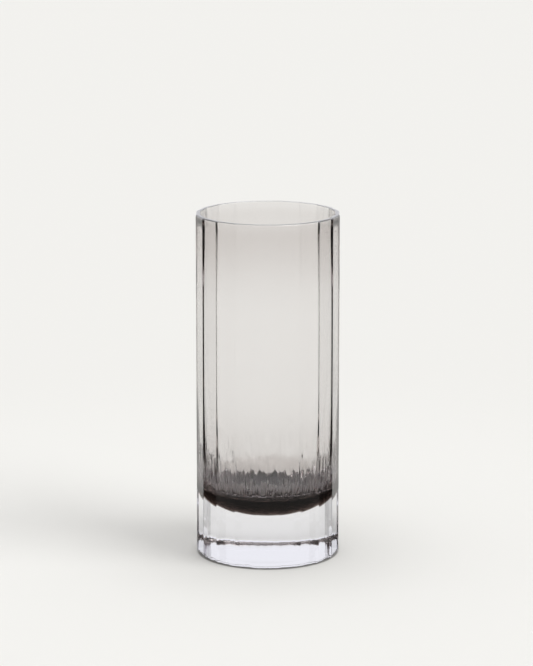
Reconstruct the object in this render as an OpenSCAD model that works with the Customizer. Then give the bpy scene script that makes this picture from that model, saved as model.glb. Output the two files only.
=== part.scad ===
// Faceted glass cylinder vase: a thin clear casing with a heavy clear base, fused
// round a smoked glass lining that gathers thickly in a bowl at the bottom.
// +Z is up and the origin is the centre of the face that the vase stands on.

/* [Body] */
// Width across the facet edges
body_d = 100; // [70:1:160]
// Height to the rim
body_h = 240; // [180:1:360]
// Number of flat facets round the outside
facets = 20; // [16:4:28]
// Radius that softens the upright edges between facets
facet_edge_r = 2; // [0.5:0.1:4]
// Radius of the softened edge round the foot
foot_edge_r = 3.2; // [1:0.1:5]
// Radius of the polished outer edge of the rim
rim_edge_r = 1; // [0.4:0.1:1.2]
// Radius of the polished inner edge of the rim
lip_edge_r = 0.4; // [0.2:0.1:0.8]

/* [Glass wall] */
// Clear glass at the middle of a facet
casing_t = 1.3; // [1.2:0.1:3]
// Smoked glass at the middle of a facet, halfway up
lining_t = 0.7; // [0.5:0.1:2]
// Clear glass added to the wall just above the floor
casing_swell_t = 2.2; // [0:0.1:3]
// Smoked glass added to the wall just above the floor
lining_swell_t = 0.5; // [0:0.1:3]
// Height above the cavity floor at which that swelling dies out
swell_h = 78; // [50:1:80]
// Clear glass added to the wall near the rim
casing_lip_t = 0.7; // [0:0.1:1.5]
// Smoked glass added to the wall near the rim
lining_lip_t = 1.2; // [0.8:0.1:2]
// Depth below the rim at which that swelling dies out
lip_h = 66; // [20:1:80]
// How far the lining opens out again at the very rim
flare_t = 0.8; // [0:0.1:0.8]
// Depth below the rim at which that flare starts
flare_h = 9; // [5:1:15]

/* [Base] */
// Clear glass under the middle of the lining
base_t = 30.4; // [15:0.1:50]
// Height of the bowl shape that ends the lining's outside
bowl_h = 31; // [28:1:40]
// Smoked glass under the middle of the cavity floor
lining_floor_t = 12.1; // [12:0.1:14]
// Radius of the dished middle of the cavity floor
floor_r = 34; // [20:1:34]
// Radius of the sphere that dishes the cavity floor
floor_dish_r = 200; // [150:10:400]
// Height of the curve between the cavity floor and the wall
cavity_corner_h = 18; // [14:1:22]

/* [Ground mark] */
// Radius of the shallow ground hollow under the foot
punt_r = 27; // [10:0.5:30]
// Depth of that hollow
punt_h = 0.5; // [0.3:0.1:1.5]

/* [Hidden] */
$fn = 120;

facet_angle = 360 / facets;
body_r = body_d / 2;
flat_r = body_r * cos(facet_angle / 2);
edge_steps = 3;
edge_centre_r = (flat_r - facet_edge_r) / cos(facet_angle / 2);

bowl_r = body_r - casing_t / 2;
floor_z = base_t + lining_floor_t;
corner_z = dish_z(floor_r);
corner_top = corner_z + cavity_corner_h;

turn_steps = 8;
bowl_steps = 12;
dish_steps = 5;
swell_steps = 7;
flare_steps = 3;
over = 1;

// Heights of the points that give the wall its thickness.
lip_z = body_h - lip_h;
flare_z = body_h - flare_h;
wall_levels = concat(
    [base_t - over],
    [for (i = [0 : swell_steps]) floor_z + swell_h * i / swell_steps],
    [for (i = [0 : swell_steps]) lip_z + (flare_z - lip_z) * i / swell_steps],
    [for (i = [1 : flare_steps]) flare_z + (flare_h - lip_edge_r) * i / flare_steps]
);

// Eases from 0 to 1 with level ends.
function ease(t) = let (u = min(max(t, 0), 1)) u * u * (3 - 2 * u);

// Radius across the corners of a facetted outline whose flats are at radius r.
function to_corner(r) = r / cos(facet_angle / 2);

// Height of the dished cavity floor at radius r.
function dish_z(r) = floor_z + floor_dish_r - sqrt(floor_dish_r * floor_dish_r - r * r);

// Shares of the two swellings, low and at the rim, that the wall has at height z.
function low_share(z) = 1 - ease((z - floor_z) / swell_h);
function lip_share(z) = 1 - ease((body_h - z) / lip_h);

// Distance from the axis to a flat of the casing's pocket at height z.
function pocket_flat(z) =
    flat_r - casing_t - casing_swell_t * low_share(z) - casing_lip_t * lip_share(z);

// Distance from the axis to a flat of the space inside at height z.
function cavity_flat(z) =
    pocket_flat(z) - lining_t - lining_swell_t * low_share(z) - lining_lip_t * lip_share(z)
        + flare_t * (1 - ease((body_h - z) / flare_h));

// Quarter turn of width w and height h, from a level bottom to an upright side.
function quarter(r, z, w, h, steps) = [
    for (i = [0 : steps])
        let (a = 90 * i / steps)
        [r + w * sin(a), z + h * (1 - cos(a))]
];

// Quarter turn from an upright side of radius r to a level top of height z.
function rim_corner(r, z, turn_r) = [
    for (i = [0 : turn_steps])
        let (a = 90 * i / turn_steps)
        [r - turn_r + turn_r * cos(a), z - turn_r + turn_r * sin(a)]
];

// Half outline of the whole body, with its foot and rim turned.
function body_outline() = concat(
    [[0, 0]],
    quarter(body_r - foot_edge_r, 0, foot_edge_r, foot_edge_r, turn_steps),
    rim_corner(body_r, body_h, rim_edge_r),
    [[0, body_h]]
);

// Half outline of the bowl that ends the lining's outside, carried up to height top.
function bowl_outline(top) = concat(
    quarter(0, base_t, bowl_r, bowl_h, bowl_steps),
    [[bowl_r, top], [0, top]]
);

// Half outline of the space inside: dished floor, curved corner, then clear of the wall.
function floor_outline(top) =
    let (end_r = to_corner(cavity_flat(corner_top)) + lining_t / 2)
    concat(
        [for (i = [0 : dish_steps - 1])
            let (r = floor_r * i / dish_steps)
            [r, dish_z(r)]],
        quarter(floor_r, corner_z, end_r - floor_r, cavity_corner_h, bowl_steps),
        [[body_r, corner_top], [body_r, top], [0, top]]
    );

// Upper half outlines, one side only, of the pocket's and the cavity's flats.
function pocket_side(top) = concat(
    [for (z = wall_levels) [pocket_flat(z), z]],
    [[pocket_flat(body_h), top]]
);
function cavity_side(top) =
    let (rim_flat = cavity_flat(body_h - lip_edge_r))
    concat(
        [for (z = wall_levels) [cavity_flat(z), z]],
        [for (i = [1 : turn_steps])
            let (a = 90 * i / turn_steps)
            [rim_flat + lip_edge_r * (1 - cos(a)), body_h - lip_edge_r + lip_edge_r * sin(a)]],
        [[rim_flat + lip_edge_r, top]]
    );

// Outline of the faceted body, with each upright edge turned on a small arc.
function facet_outline() = [
    for (i = [0 : facets - 1], k = [0 : edge_steps])
        let (edge_a = (i + 0.5) * facet_angle)
        let (turn_a = edge_a - facet_angle / 2 + facet_angle * k / edge_steps)
        edge_centre_r * [cos(edge_a), sin(edge_a)]
            + facet_edge_r * [cos(turn_a), sin(turn_a)]
];

// The body's outer shape: a turned outline cut back to flats with soft edges.
module faceted_body() {
    intersection() {
        rotate_extrude() polygon(body_outline());
        linear_extrude(height = body_h) polygon(facet_outline());
    }
}

// Space between flats that follow one side outline, each pair of facets at a time.
module between_flats(side) {
    mirrored = [for (i = [len(side) - 1 : -1 : 0]) [-side[i][0], side[i][1]]];
    intersection_for (i = [0 : facets / 2 - 1])
        rotate([90, 0, i * facet_angle])
            linear_extrude(height = 2 * body_d, center = true)
                polygon(concat(side, mirrored));
}

// Space that the lining and the cavity take up together.
module pocket(top) {
    intersection() {
        rotate_extrude() polygon(bowl_outline(top));
        between_flats(pocket_side(top));
    }
}

// Space inside the vase.
module cavity(top) {
    intersection() {
        rotate_extrude() polygon(floor_outline(top));
        between_flats(cavity_side(top));
    }
}

// Shallow spherical hollow left where the foot was ground smooth.
module ground_hollow() {
    ball_r = (punt_r * punt_r + punt_h * punt_h) / (2 * punt_h);
    translate([0, 0, punt_h - ball_r]) sphere(r = ball_r);
}

module clear_casing() {
    color([0.90, 0.92, 0.96, 0.35])
        difference() {
            faceted_body();
            pocket(body_h + over);
            ground_hollow();
        }
}

module smoked_liner() {
    color([0.42, 0.38, 0.36, 0.6])
        difference() {
            pocket(body_h);
            cavity(body_h + over);
        }
}

clear_casing();
smoked_liner();
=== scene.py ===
"""Looks, light and camera for a faceted vase of clear glass cased over smoked glass.

The vase is two closed meshes, the clear casing and the smoked lining. Faces where the
two are fused let light straight through, and every other face bends it as glass does.
Each glass soaks up light along its own thickness, so the smoke deepens where it is thick.
"""
import math

import bpy
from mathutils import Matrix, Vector, noise


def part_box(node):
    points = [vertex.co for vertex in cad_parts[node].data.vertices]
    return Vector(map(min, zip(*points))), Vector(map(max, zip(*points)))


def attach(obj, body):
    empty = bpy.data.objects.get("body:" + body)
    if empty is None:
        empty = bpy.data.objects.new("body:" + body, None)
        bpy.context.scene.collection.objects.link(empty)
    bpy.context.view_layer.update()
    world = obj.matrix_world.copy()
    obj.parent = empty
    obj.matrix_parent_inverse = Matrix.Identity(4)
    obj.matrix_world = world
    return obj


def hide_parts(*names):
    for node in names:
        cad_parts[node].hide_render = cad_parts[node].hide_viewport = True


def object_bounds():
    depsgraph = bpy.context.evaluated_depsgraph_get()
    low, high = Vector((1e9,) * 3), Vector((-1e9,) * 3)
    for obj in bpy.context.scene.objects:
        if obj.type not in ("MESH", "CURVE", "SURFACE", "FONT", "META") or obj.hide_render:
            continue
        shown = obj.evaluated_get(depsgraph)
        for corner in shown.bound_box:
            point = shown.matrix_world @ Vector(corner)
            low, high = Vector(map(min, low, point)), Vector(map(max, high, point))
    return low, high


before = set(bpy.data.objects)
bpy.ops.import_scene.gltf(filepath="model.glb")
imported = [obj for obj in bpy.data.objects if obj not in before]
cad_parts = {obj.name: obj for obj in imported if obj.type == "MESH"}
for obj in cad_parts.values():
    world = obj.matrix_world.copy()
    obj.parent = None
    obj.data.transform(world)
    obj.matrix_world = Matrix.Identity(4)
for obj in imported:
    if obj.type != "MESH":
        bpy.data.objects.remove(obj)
CAD_LOW, CAD_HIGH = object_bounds()
LINER_LOW, LINER_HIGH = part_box("smoked_liner")

MM = 0.001

# ---- sizes read from the frame -----------------------------------------------------------
FLAT_R = CAD_HIGH.x
HEIGHT = CAD_HIGH.z
BASE_T = LINER_LOW.z
CASING_T = FLAT_R - LINER_HIGH.x

# ---- sizes that the frame's model also has -----------------------------------------------
FACETS = 20
FACET_EDGE_R = 2.0 * MM
FOOT_R = 3.2 * MM
RIM_R = 1.0 * MM
LIP_R = 0.4 * MM
PUNT_R = 27.0 * MM
PUNT_H = 0.5 * MM
LINING_T = 0.7 * MM
CASING_SWELL_T = 2.2 * MM
LINING_SWELL_T = 0.5 * MM
SWELL_H = 78.0 * MM
CASING_LIP_T = 0.7 * MM
LINING_LIP_T = 1.2 * MM
LIP_H = 66.0 * MM
FLARE_T = 0.8 * MM
FLARE_H = 9.0 * MM
BOWL_H = 31.0 * MM
LINING_FLOOR_T = 12.1 * MM
FLOOR_R = 34.0 * MM
FLOOR_DISH_R = 200.0 * MM
CORNER_H = 18.0 * MM

FACET_ANGLE = 2 * math.pi / FACETS
FLOOR_Z = BASE_T + LINING_FLOOR_T

# ---- marks that the glass keeps from being made, all small -------------------------------
# A count is how many noise cells there are to each radian round the vase, and FINER is
# how many times smaller the second layer of a mark is than its first.
FOOT_WAVER = 0.30
FOOT_WAVER_BIAS = 0.4
FOOT_WAVER_COUNT = 5
FINER = 3

WRINKLE_T = 0.95 * MM
WRINKLE_COUNT = 27.0
WRINKLE_H = 26.6 * MM
RIDGE_POWER = 3
RIDGE_MIDDLE = 0.5
BROAD_SHARE = 0.5
BROAD_COUNT = 13.5
BROAD_H = 7.6 * MM
WRINKLE_LOW_R = 31.0 * MM
WRINKLE_FULL_R = 40.0 * MM
WRINKLE_FULL_Z = 56.0 * MM
WRINKLE_TOP_Z = 80.0 * MM

GRAIN_T = 0.10 * MM
GRAIN_COUNT = 34.6
GRAIN_H = 1.6 * MM
GRAIN_FULL_Z = 54.0 * MM
GRAIN_TOP_Z = 62.0 * MM

POOL_T = 0.22 * MM
POOL_W = 3.0 * MM
POOL_FINE_SHARE = 0.5
POOL_R = 34.0 * MM
POOL_END_R = 42.0 * MM

# Levels at which each kind of mark cuts through the noise, so that none repeats another.
WAVER_CUT = 1.0
FINE_WAVER_CUT = 2.0
POOL_CUT = 3.0
FINE_POOL_CUT = 5.0
BROAD_CUT = 7.0

# ---- how finely the meshes are made ------------------------------------------------------
FLAT_STEPS = 26
EDGE_STEPS = 4
TURN_STEPS = 10
PUNT_STEPS = 12
BOWL_STEPS = 32
FLOOR_STEPS = 24
CORNER_STEPS = 44
SIDE_STEPS = 16
WALL_STEPS = (14, 14, 8)
FUSE_GAP = 0.02 * MM
STEP_OUT = 0.1 * MM
SHARP = math.radians(45)

# ---- glass -------------------------------------------------------------------------------
IOR = 1.5
SMOKE_COLOUR = (0.215, 0.11, 0.067, 1.0)
SMOKE_DENSITY = 130.0
TINT_COLOUR = (0.0, 0.05, 0.75, 1.0)
TINT_DENSITY = 0.5
RIM_COAT_ROUGHNESS = 0.05
RIM_COAT_IOR = 1.7
BARE = "bare_face"
POLISHED = "polished_face"


# ---- shape of the glass ------------------------------------------------------------------
def ease(t):
    """From 0 to 1 with level ends."""
    t = min(max(t, 0.0), 1.0)
    return t * t * (3 - 2 * t)


def fade(value, full, none):
    """1 at full and 0 at none, eased in between."""
    return 1 - ease((value - full) / (none - full))


def spread(first, last, steps):
    """Even values from first to last, both included."""
    return [first + (last - first) * k / steps for k in range(steps + 1)]


def to_corner(flat_r):
    """Radius across the corners of a facetted outline whose flats are at flat_r."""
    return flat_r / math.cos(FACET_ANGLE / 2)


CORNER_R = to_corner(FLAT_R)


def low_share(z):
    """Share of the swelling above the floor that the wall has at height z."""
    return fade(z, FLOOR_Z, FLOOR_Z + SWELL_H)


def lip_share(z):
    """Share of the swelling at the rim that the wall has at height z."""
    return fade(z, HEIGHT, HEIGHT - LIP_H)


def pocket_flat(z):
    """Distance from the axis to the flats of the fused face at height z."""
    return FLAT_R - CASING_T - CASING_SWELL_T * low_share(z) - CASING_LIP_T * lip_share(z)


def cavity_flat(z):
    """Distance from the axis to the flats of the space inside at height z."""
    lining = LINING_T + LINING_SWELL_T * low_share(z) + LINING_LIP_T * lip_share(z)
    return pocket_flat(z) - lining + FLARE_T * fade(z, HEIGHT, HEIGHT - FLARE_H)


def floor_z(r):
    """Height of the dished cavity floor at radius r."""
    return FLOOR_Z + FLOOR_DISH_R - math.sqrt(FLOOR_DISH_R**2 - r**2)


def columns():
    """(angle, radius) of each column of points round the body, its edges on small arcs."""
    arc_r = to_corner(FLAT_R - FACET_EDGE_R)
    half_flat = arc_r * math.sin(FACET_ANGLE / 2)
    out = []
    for i in range(FACETS):
        middle = i * FACET_ANGLE
        for x in spread(-half_flat, half_flat, FLAT_STEPS):
            out.append((middle + math.atan2(x, FLAT_R), math.hypot(x, FLAT_R)))
        edge = middle + FACET_ANGLE / 2
        for turn in spread(middle, middle + FACET_ANGLE, EDGE_STEPS)[1:-1]:
            x = arc_r * math.cos(edge) + FACET_EDGE_R * math.cos(turn)
            y = arc_r * math.sin(edge) + FACET_EDGE_R * math.sin(turn)
            out.append((math.atan2(y, x), math.hypot(x, y)))
    return out


COLUMNS = columns()


def noise_at(x, y, z):
    """Smooth noise, from about -1 to 1."""
    return noise.noise(Vector((x, y, z)))


# ---- rings of points ---------------------------------------------------------------------
def ring(profile):
    """A ring of points from profile(column's angle, column's radius) -> (radius, height)."""
    points = []
    for angle, outer in COLUMNS:
        r, z = profile(angle, outer)
        points.append((r * math.cos(angle), r * math.sin(angle), z))
    return points


def round_ring(r, z):
    """A round ring."""
    return ring(lambda angle, outer: (r, z))


def faceted_ring(r, z, flat_r):
    """A ring of radius r, cut back to facets whose middles are at flat_r."""
    return ring(lambda angle, outer: (min(r, outer * flat_r / FLAT_R), z))


def inset_ring(inset_and_height):
    """The body's ring, set in and raised by what inset_and_height(angle) says."""

    def profile(angle, outer):
        inset, z = inset_and_height(angle)
        return outer * (FLAT_R - inset) / FLAT_R, z

    return ring(profile)


def pocket_ring(r, z, gap=0.0):
    """A ring of the fused face, or of the lining's side of it with a gap."""
    return faceted_ring(r - gap, z + gap, pocket_flat(z) - gap)


def foot_r(angle):
    """Radius of the foot's softened edge, which wavers because it was polished by hand."""
    c = FOOT_WAVER_COUNT * math.cos(angle)
    s = FOOT_WAVER_COUNT * math.sin(angle)
    waver = noise_at(c, s, WAVER_CUT) + noise_at(FINER * c, FINER * s, FINE_WAVER_CUT)
    return FOOT_R * (1 + FOOT_WAVER * (FOOT_WAVER_BIAS + waver))


def foot_ring(k):
    """Ring k of the foot's softened edge, from the level foot to the facets."""
    a = math.pi / 2 * k / TURN_STEPS
    return inset_ring(lambda g: (foot_r(g) * (1 - math.sin(a)), foot_r(g) * (1 - math.cos(a))))


def rim_ring(k):
    """Ring k of the rim's outer edge, from the facets to the level top."""
    a = math.pi / 2 * k / TURN_STEPS
    return inset_ring(lambda g: (RIM_R * (1 - math.cos(a)), HEIGHT - RIM_R * (1 - math.sin(a))))


def side_rings():
    """Rings up the facets, above the foot's edge and up to the rim's edge."""
    low, high = foot_ring(TURN_STEPS), rim_ring(0)
    out = []
    for t in spread(0, 1, SIDE_STEPS)[1:]:
        out.append([(a[0], a[1], a[2] + (b[2] - a[2]) * t) for a, b in zip(low, high, strict=True)])
    return out


# ---- marks of making on the inside -------------------------------------------------------
def ridges_at(x, y, z):
    """Noise with narrow ridges, from about -0.5 to 0.5."""
    return (1 - abs(noise_at(x, y, z))) ** RIDGE_POWER - RIDGE_MIDDLE


def wrinkles(c, s, z):
    """How far cold wrinkles set the cavity wall in, at bearing (c, s) and height z."""
    fine = ridges_at(c * WRINKLE_COUNT, s * WRINKLE_COUNT, z / WRINKLE_H)
    broad = noise_at(c * BROAD_COUNT, s * BROAD_COUNT, BROAD_CUT + z / BROAD_H)
    return WRINKLE_T * fade(z, WRINKLE_FULL_Z, WRINKLE_TOP_Z) * (fine + BROAD_SHARE * broad)


def grain(c, s, z):
    """How far the finest ripples set the cavity wall in."""
    ripple = noise_at(c * GRAIN_COUNT, s * GRAIN_COUNT, z / GRAIN_H)
    return GRAIN_T * fade(z, GRAIN_FULL_Z, GRAIN_TOP_Z) * ripple


def floor_lift(x, y, r):
    """How far the cooled pool of glass on the cavity floor rises at (x, y)."""
    u, v = x / POOL_W, y / POOL_W
    swell = noise_at(u, v, POOL_CUT)
    swell += POOL_FINE_SHARE * noise_at(FINER * u, FINER * v, FINE_POOL_CUT)
    return POOL_T * fade(r, POOL_R, POOL_END_R) * swell


def cavity_ring(r, height):
    """A ring of the space inside, with its marks of making."""
    out = []
    for x, y, z in faceted_ring(r, height, cavity_flat(height)):
        at_r = math.hypot(x, y)
        c, s = x / at_r, y / at_r
        push = 1 - fade(at_r, WRINKLE_LOW_R, WRINKLE_FULL_R)
        push *= wrinkles(c, s, z) + grain(c, s, z)
        out.append((x - push * c, y - push * s, z + floor_lift(x, y, at_r)))
    return out


# ---- meshes ------------------------------------------------------------------------------
def face_between(low, low_count, high, high_count, j, n):
    """Corner numbers of the face between columns j and n of two rings, one maybe a point."""
    if low_count == 1:
        return (low, high + n, high + j)
    if high_count == 1:
        return (low + j, low + n, high)
    return (low + j, low + n, high + n, high + j)


def shell(name, bands, material):
    """A closed mesh from bands of (bare, polished, rings), with a point at each end."""
    points, faces, bare, polished = [], [], [], []
    last = None
    for is_bare, is_polished, rings in bands:
        for this_ring in rings:
            this = (len(points), len(this_ring))
            points += this_ring
            if last is not None:
                for j in range(len(COLUMNS)):
                    n = (j + 1) % len(COLUMNS)
                    faces.append(face_between(*last, *this, j, n))
                    bare.append(is_bare)
                    polished.append(is_polished)
            last = this
    mesh = bpy.data.meshes.new(name)
    mesh.from_pydata(points, [], faces)
    mesh.polygons.foreach_set("use_smooth", [True] * len(faces))
    for mark, values in ((BARE, bare), (POLISHED, polished)):
        mesh.attributes.new(mark, "FLOAT", "FACE").data.foreach_set("value", values)
    mesh.materials.append(material)
    mesh.set_sharp_from_angle(angle=SHARP)
    mesh.update()
    piece = bpy.data.objects.new(name, mesh)
    bpy.context.scene.collection.objects.link(piece)
    return piece


def pocket_profile():
    """(radius, height) of the fused face's rings, from above the bottom's middle to the rim."""
    wide_r = CORNER_R - CASING_T / 2
    points = []
    for a in spread(0, math.pi / 2, BOWL_STEPS)[1:]:
        points.append((wide_r * math.sin(a), BASE_T + BOWL_H * (1 - math.cos(a))))
    return points + [(wide_r, z) for z in spread(BASE_T + BOWL_H, HEIGHT, SIDE_STEPS)[1:-1]]


def cavity_profile():
    """(radius, height) of the inside's rings, from beside the floor's middle to the lip."""
    points = [(r, floor_z(r)) for r in spread(0, FLOOR_R, FLOOR_STEPS)[1:]]
    corner_top = floor_z(FLOOR_R) + CORNER_H
    corner_w = to_corner(cavity_flat(corner_top)) + LINING_T / 2 - FLOOR_R
    for a in spread(0, math.pi / 2, CORNER_STEPS)[1:]:
        points.append((FLOOR_R + corner_w * math.sin(a), corner_top - CORNER_H * math.cos(a)))
    levels = (corner_top, WRINKLE_TOP_Z, HEIGHT - FLARE_H, HEIGHT - LIP_R)
    for low, high, steps in zip(levels[:-1], levels[1:], WALL_STEPS, strict=True):
        points += [(CORNER_R, z) for z in spread(low, high, steps)[1:]]
    return points


def make_casing(material):
    """The clear glass: ground hollow, foot, facets, rim and the fused face inside."""
    ball_r = (PUNT_R**2 + PUNT_H**2) / (2 * PUNT_H)
    outside = [[(0.0, 0.0, PUNT_H)]]
    for r in spread(0, PUNT_R, PUNT_STEPS)[1:]:
        outside.append(round_ring(r, PUNT_H - ball_r + math.sqrt(ball_r**2 - r**2)))
    outside.append(round_ring(PUNT_R + STEP_OUT, 0.0))
    outside += [foot_ring(k) for k in range(TURN_STEPS + 1)]
    outside += side_rings()
    rim = [rim_ring(k) for k in range(1, TURN_STEPS + 1)]
    rim.append(pocket_ring(CORNER_R, HEIGHT))
    pocket = [pocket_ring(r, z) for r, z in reversed(pocket_profile())]
    pocket.append([(0.0, 0.0, BASE_T)])
    bands = [(1.0, 0.0, outside), (1.0, 1.0, rim), (0.0, 0.0, pocket)]
    return shell("clear_casing_glass", bands, material)


def make_liner(material):
    """The smoked glass: the fused face outside, the lip and the cavity."""
    outside = [[(0.0, 0.0, BASE_T + FUSE_GAP)]]
    outside += [pocket_ring(r, z, FUSE_GAP) for r, z in pocket_profile()]
    outside.append(faceted_ring(CORNER_R, HEIGHT, pocket_flat(HEIGHT) - FUSE_GAP))
    lip = []
    for a in spread(math.pi / 2, math.pi, TURN_STEPS)[:-1]:
        flat_r = cavity_flat(HEIGHT) + LIP_R + LIP_R * math.cos(a)
        lip.append(faceted_ring(CORNER_R, HEIGHT - LIP_R + LIP_R * math.sin(a), flat_r))
    inside = [cavity_ring(r, z) for r, z in reversed(cavity_profile())]
    inside.append([(0.0, 0.0, FLOOR_Z)])
    bands = [(0.0, 0.0, outside), (1.0, 1.0, lip), (1.0, 0.0, inside)]
    return shell("smoked_liner_glass", bands, material)


# ---- node helpers ------------------------------------------------------------------------
def put(tree, socket, value):
    """Links value to a socket if it comes from another node, or sets it."""
    if isinstance(value, bpy.types.NodeSocket):
        tree.links.new(value, socket)
    else:
        socket.default_value = value


def calc(tree, operation, a, b):
    """A Math node's result."""
    node = tree.nodes.new("ShaderNodeMath")
    node.operation = operation
    put(tree, node.inputs[0], a)
    put(tree, node.inputs[1], b)
    return node.outputs[0]


def ramp(tree, value, start, end, before, after):
    """Goes smoothly from before, at start, to after, at end."""
    node = tree.nodes.new("ShaderNodeMapRange")
    node.interpolation_type = "SMOOTHSTEP"
    names = ("From Min", "From Max", "To Min", "To Max")
    for name, limit in zip(names, (start, end, before, after), strict=True):
        node.inputs[name].default_value = limit
    put(tree, node.inputs["Value"], value)
    return node.outputs[0]


def mix(tree, share, a, b, kind="FLOAT"):
    """A Mix node's result: a at share 0 and b at share 1."""
    node = tree.nodes.new("ShaderNodeMix")
    node.data_type = kind
    sockets = [s for s in node.inputs if s.enabled]
    put(tree, sockets[0], share)
    put(tree, sockets[1], a)
    put(tree, sockets[2], b)
    return next(s for s in node.outputs if s.enabled)


def new_material(name):
    """A new material with one Principled shader: (material, its node tree, the shader)."""
    material = bpy.data.materials.new(name)
    material.use_nodes = True
    tree = material.node_tree
    return material, tree, tree.nodes["Principled BSDF"]


# ---- glass materials ---------------------------------------------------------------------
STREAK_SCALE = (90.0, 90.0, 5.0)
STREAK_DETAIL = 2.0
STREAK_T = 0.02 * MM


def add_streaks(tree, shader, seed):
    """Faint upright streaks that blown glass keeps from being drawn out."""
    place = tree.nodes.new("ShaderNodeTexCoord")
    stretch = tree.nodes.new("ShaderNodeMapping")
    stretch.inputs["Scale"].default_value = STREAK_SCALE
    stretch.inputs["Location"].default_value = (seed, seed, seed)
    tree.links.new(place.outputs["Object"], stretch.inputs["Vector"])
    streak = tree.nodes.new("ShaderNodeTexNoise")
    streak.inputs["Scale"].default_value = 1.0
    streak.inputs["Detail"].default_value = STREAK_DETAIL
    tree.links.new(stretch.outputs["Vector"], streak.inputs["Vector"])
    bump = tree.nodes.new("ShaderNodeBump")
    bump.inputs["Strength"].default_value = 1.0
    bump.inputs["Distance"].default_value = STREAK_T
    tree.links.new(streak.outputs["Fac"], bump.inputs["Height"])
    tree.links.new(bump.outputs["Normal"], shader.inputs["Normal"])


def glass(name, colour, density, seed):
    """Glass that is see-through on fused faces and brighter on the polished rim."""
    material, tree, shader = new_material(name)
    shader.inputs["Base Color"].default_value = (1, 1, 1, 1)
    shader.inputs["Roughness"].default_value = 0.0
    shader.inputs["IOR"].default_value = IOR
    shader.inputs["Transmission Weight"].default_value = 1.0
    shader.inputs["Coat Roughness"].default_value = RIM_COAT_ROUGHNESS
    shader.inputs["Coat IOR"].default_value = RIM_COAT_IOR
    for mark, socket in ((BARE, "Alpha"), (POLISHED, "Coat Weight")):
        attribute = tree.nodes.new("ShaderNodeAttribute")
        attribute.attribute_name = mark
        tree.links.new(attribute.outputs["Fac"], shader.inputs[socket])
    add_streaks(tree, shader, seed)
    soak = tree.nodes.new("ShaderNodeVolumeAbsorption")
    soak.inputs["Color"].default_value = colour
    soak.inputs["Density"].default_value = density
    tree.links.new(soak.outputs["Volume"], tree.nodes["Material Output"].inputs["Volume"])
    return material


casing = make_casing(glass("clear_glass", TINT_COLOUR, TINT_DENSITY, 1.0))
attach(casing, "root")
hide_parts("clear_casing")

liner = make_liner(glass("smoked_glass", SMOKE_COLOUR, SMOKE_DENSITY, 2.0))
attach(liner, "root")
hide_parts("smoked_liner")

# ---- floor -------------------------------------------------------------------------------
# The floor is pale, and a little paler round the vase: painted light that lifts the shade the vase
# casts there. Where the glass mirrors it, parts of it are dark, as if parts of the room were unlit,
# which a plain floor wouldn't be: painted dark reflections. This darkens the upright lines and the
# smoked glass, and the places are chosen for the view from -Y. The floor is plain for all light
# once UNLIT and the paler colour round the vase are set to PALE and CONTACT_DARK to 0.
FLOOR_SIZE = 20.0
FLOOR_DROP = 0.2 * MM
PALE = (0.80, 0.793, 0.764, 1)
# Painted light: the paler colour of the floor round the vase.
PAINTED_LIGHT_NEAR = (0.835, 0.828, 0.798, 1)
NEAR_START = 0.06
NEAR_FULL = 0.15
NEAR_END = 0.60

# A dark line painted on the floor under the foot's softened edge, in place of contact
# shade, by distance from the vase's axis.
CONTACT = (0.02, 0.016, 0.016, 1)
CONTACT_DARK = 0.58
CONTACT_START = 45.0 * MM
CONTACT_FULL = 46.2 * MM
CONTACT_FADE = 48.6 * MM
CONTACT_END = 50.3 * MM

# Where it is dark for mirrored light. Behind the vase this goes by bearing, which is the
# distance to the side over the distance behind, and in front by distance from the axis.
UNLIT = (0.0, 0.0, 0.0, 1)
ONCE_MIRRORED = (0.74, 0.84)
TWICE_MIRRORED = (0.38, 0.50)
WIDE_LIT = (1.7, 2.4)
OUTSIDE_MIRRORED = (1.3, 1.9)
OUTSIDE_LEVEL = 0.05
FRONT_LIT = (0.20, 0.55)
FRONT_LEVELS = (0.35, 0.95)
NEARLY_0 = 0.001


def at_least(tree, path, kind, count):
    """1 for light that has had that many bounces of a kind on its way, and 0 for the rest."""
    return calc(tree, "GREATER_THAN", path.outputs[f"{kind} Depth"], count - 0.5)


def mirrored_share(tree, path):
    """1 for light that was mirrored on its way to the eye, and never scattered."""
    unscattered = calc(tree, "SUBTRACT", 1.0, at_least(tree, path, "Diffuse", 1))
    return calc(tree, "MULTIPLY", at_least(tree, path, "Glossy", 1), unscattered)


def mirrored_level(tree, path, place, distance):
    """How bright the floor is for mirrored light, by where on the floor it comes from."""
    aside = calc(tree, "ABSOLUTE", place.outputs["X"], 0.0)
    bearing = calc(tree, "DIVIDE", aside, calc(tree, "MAXIMUM", place.outputs["Y"], NEARLY_0))
    once = ramp(tree, bearing, *ONCE_MIRRORED, 1.0, 0.0)
    twice = calc(tree, "MINIMUM", ramp(tree, bearing, *TWICE_MIRRORED, 1.0, 0.0), once)
    inside = mix(tree, at_least(tree, path, "Glossy", 2), once, twice)
    inside = calc(tree, "MAXIMUM", inside, ramp(tree, bearing, *WIDE_LIT, 0.0, 1.0))
    outside = ramp(tree, bearing, *OUTSIDE_MIRRORED, 1.0, OUTSIDE_LEVEL)
    behind = mix(tree, at_least(tree, path, "Transmission", 1), outside, inside)
    front = ramp(tree, distance, *FRONT_LIT, *FRONT_LEVELS)
    return mix(tree, calc(tree, "GREATER_THAN", place.outputs["Y"], 0.0), front, behind)


def band_share(tree, distance, start, full, fading, end):
    """1 for distances from full to fading, and 0 before start and after end."""
    rise = ramp(tree, distance, start, full, 0.0, 1.0)
    return calc(tree, "MULTIPLY", rise, ramp(tree, distance, fading, end, 1.0, 0.0))


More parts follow.
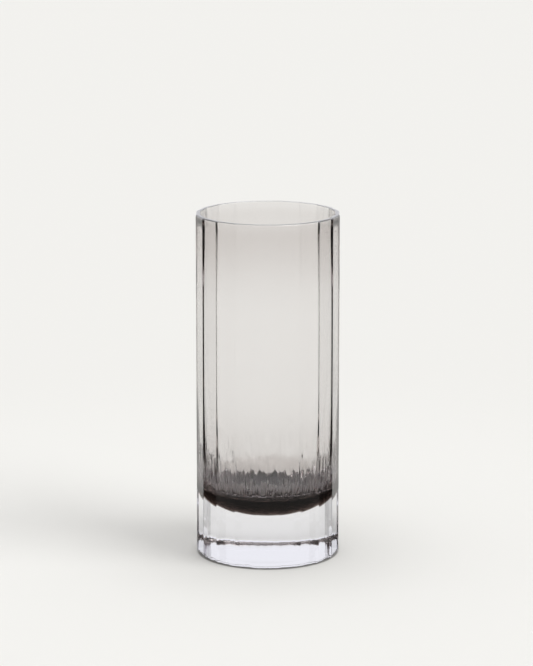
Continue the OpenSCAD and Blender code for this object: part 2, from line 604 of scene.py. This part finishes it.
def floor_colour(tree):
    """The floor's colour: pale, with a ring of painted light round the vase, painted dark
    reflections for mirrored light and the painted contact shade line.
    """
    path = tree.nodes.new("ShaderNodeLightPath")
    spot = tree.nodes.new("ShaderNodeNewGeometry")
    place = tree.nodes.new("ShaderNodeSeparateXYZ")
    tree.links.new(spot.outputs["Position"], place.inputs[0])
    length = tree.nodes.new("ShaderNodeVectorMath")
    length.operation = "LENGTH"
    tree.links.new(spot.outputs["Position"], length.inputs[0])
    distance = length.outputs["Value"]
    # A ring of painted light round the vase, from NEAR_START to NEAR_END.
    painted_light_share = band_share(tree, distance, NEAR_START, NEAR_FULL, NEAR_FULL, NEAR_END)
    pale = mix(tree, painted_light_share, PALE, PAINTED_LIGHT_NEAR, "RGBA")
    unlit = calc(tree, "SUBTRACT", 1.0, mirrored_level(tree, path, place, distance))
    unlit = calc(tree, "MULTIPLY", unlit, mirrored_share(tree, path))
    edges = (CONTACT_START, CONTACT_FULL, CONTACT_FADE, CONTACT_END)
    contact = calc(tree, "MULTIPLY", band_share(tree, distance, *edges), CONTACT_DARK)
    return mix(tree, contact, mix(tree, unlit, pale, UNLIT, "RGBA"), CONTACT, "RGBA")


def make_floor():
    """The floor, at the foot's level."""
    material, tree, shader = new_material("floor")
    shader.inputs["Roughness"].default_value = 1.0
    shader.inputs["Specular IOR Level"].default_value = 0.0
    tree.links.new(floor_colour(tree), shader.inputs["Base Color"])
    mesh = bpy.data.meshes.new("floor")
    h = FLOOR_SIZE / 2
    mesh.from_pydata([(-h, -h, 0), (h, -h, 0), (h, h, 0), (-h, h, 0)], [], [(0, 1, 2, 3)])
    mesh.materials.append(material)
    floor = bpy.data.objects.new("floor", mesh)
    floor.location.z = -FLOOR_DROP
    bpy.context.scene.collection.objects.link(floor)


make_floor()

# ---- light -------------------------------------------------------------------------------
# Lamps have a spread, an azimuth and an elevation, in degrees. The glint lamp shows only
# in the glass, as small sparkles, and doesn't light the floor.
HORIZON = (0.90, 0.90, 0.935, 1)
ZENITH = (0.86, 0.86, 0.86, 1)
SKY_CHANGE = (0.30, 0.60)
KEY_ENERGY = 1.25
KEY_SPREAD = 40
KEY_FROM = (-28, 38)
GLINT_ENERGY = 0.5
GLINT_SPREAD = 3
GLINT_FROM = (8, 32)


def make_sky():
    """An even studio sky, a little brighter and cooler low down."""
    world = bpy.data.worlds.new("studio")
    bpy.context.scene.world = world
    world.use_nodes = True
    tree = world.node_tree
    place = tree.nodes.new("ShaderNodeTexCoord")
    parts = tree.nodes.new("ShaderNodeSeparateXYZ")
    tree.links.new(place.outputs["Generated"], parts.inputs[0])
    up = ramp(tree, parts.outputs["Z"], *SKY_CHANGE, 0.0, 1.0)
    colour = mix(tree, up, HORIZON, ZENITH, "RGBA")
    tree.links.new(colour, tree.nodes["Background"].inputs["Color"])


def make_lamp(name, energy, spread_deg, azimuth_deg, elevation_deg):
    """A distant lamp. At azimuth 0 it shines from +X, and at 90 from +Y."""
    data = bpy.data.lights.new(name, "SUN")
    data.energy = energy
    data.angle = math.radians(spread_deg)
    lamp = bpy.data.objects.new(name, data)
    bpy.context.scene.collection.objects.link(lamp)
    azimuth, elevation = math.radians(azimuth_deg), math.radians(elevation_deg)
    level = math.cos(elevation)
    to_lamp = Vector((math.cos(azimuth) * level, math.sin(azimuth) * level, math.sin(elevation)))
    lamp.rotation_mode = "QUATERNION"
    lamp.rotation_quaternion = to_lamp.to_track_quat("Z", "Y")
    return lamp


make_sky()
make_lamp("key", KEY_ENERGY, KEY_SPREAD, *KEY_FROM)
glint = make_lamp("glint", GLINT_ENERGY, GLINT_SPREAD, *GLINT_FROM)
glint.visible_diffuse = False

# ---- camera ------------------------------------------------------------------------------
SENSOR = 36.0
IMAGE_H = 666
FOCAL_PX = 3008
CAMERA_PLACE = (-0.85 * MM, -2.037, 0.596)
CAMERA_DOWN = 10.93
CAMERA_SHIFT = -0.1006
CAMERA_CLIP_START = 0.05


def make_camera():
    """The camera, in front of the vase and a little above its rim."""
    data = bpy.data.cameras.new("camera")
    data.sensor_width = SENSOR
    data.lens = FOCAL_PX * SENSOR / IMAGE_H
    data.shift_y = CAMERA_SHIFT
    data.clip_start = CAMERA_CLIP_START
    camera = bpy.data.objects.new("camera", data)
    camera.location = CAMERA_PLACE
    camera.rotation_euler = (math.radians(90 - CAMERA_DOWN), 0, 0)
    bpy.context.scene.collection.objects.link(camera)
    bpy.context.scene.camera = camera


make_camera()

# ---- how far light is followed through the glass -----------------------------------------
BOUNCES = 32
GLOSSY_BOUNCES = 16
SEE_THROUGH_FACES = 64

scene = bpy.context.scene
scene.view_settings.view_transform = "Standard"
scene.cycles.max_bounces = BOUNCES
scene.cycles.transmission_bounces = BOUNCES
scene.cycles.glossy_bounces = GLOSSY_BOUNCES
scene.cycles.transparent_max_bounces = SEE_THROUGH_FACES
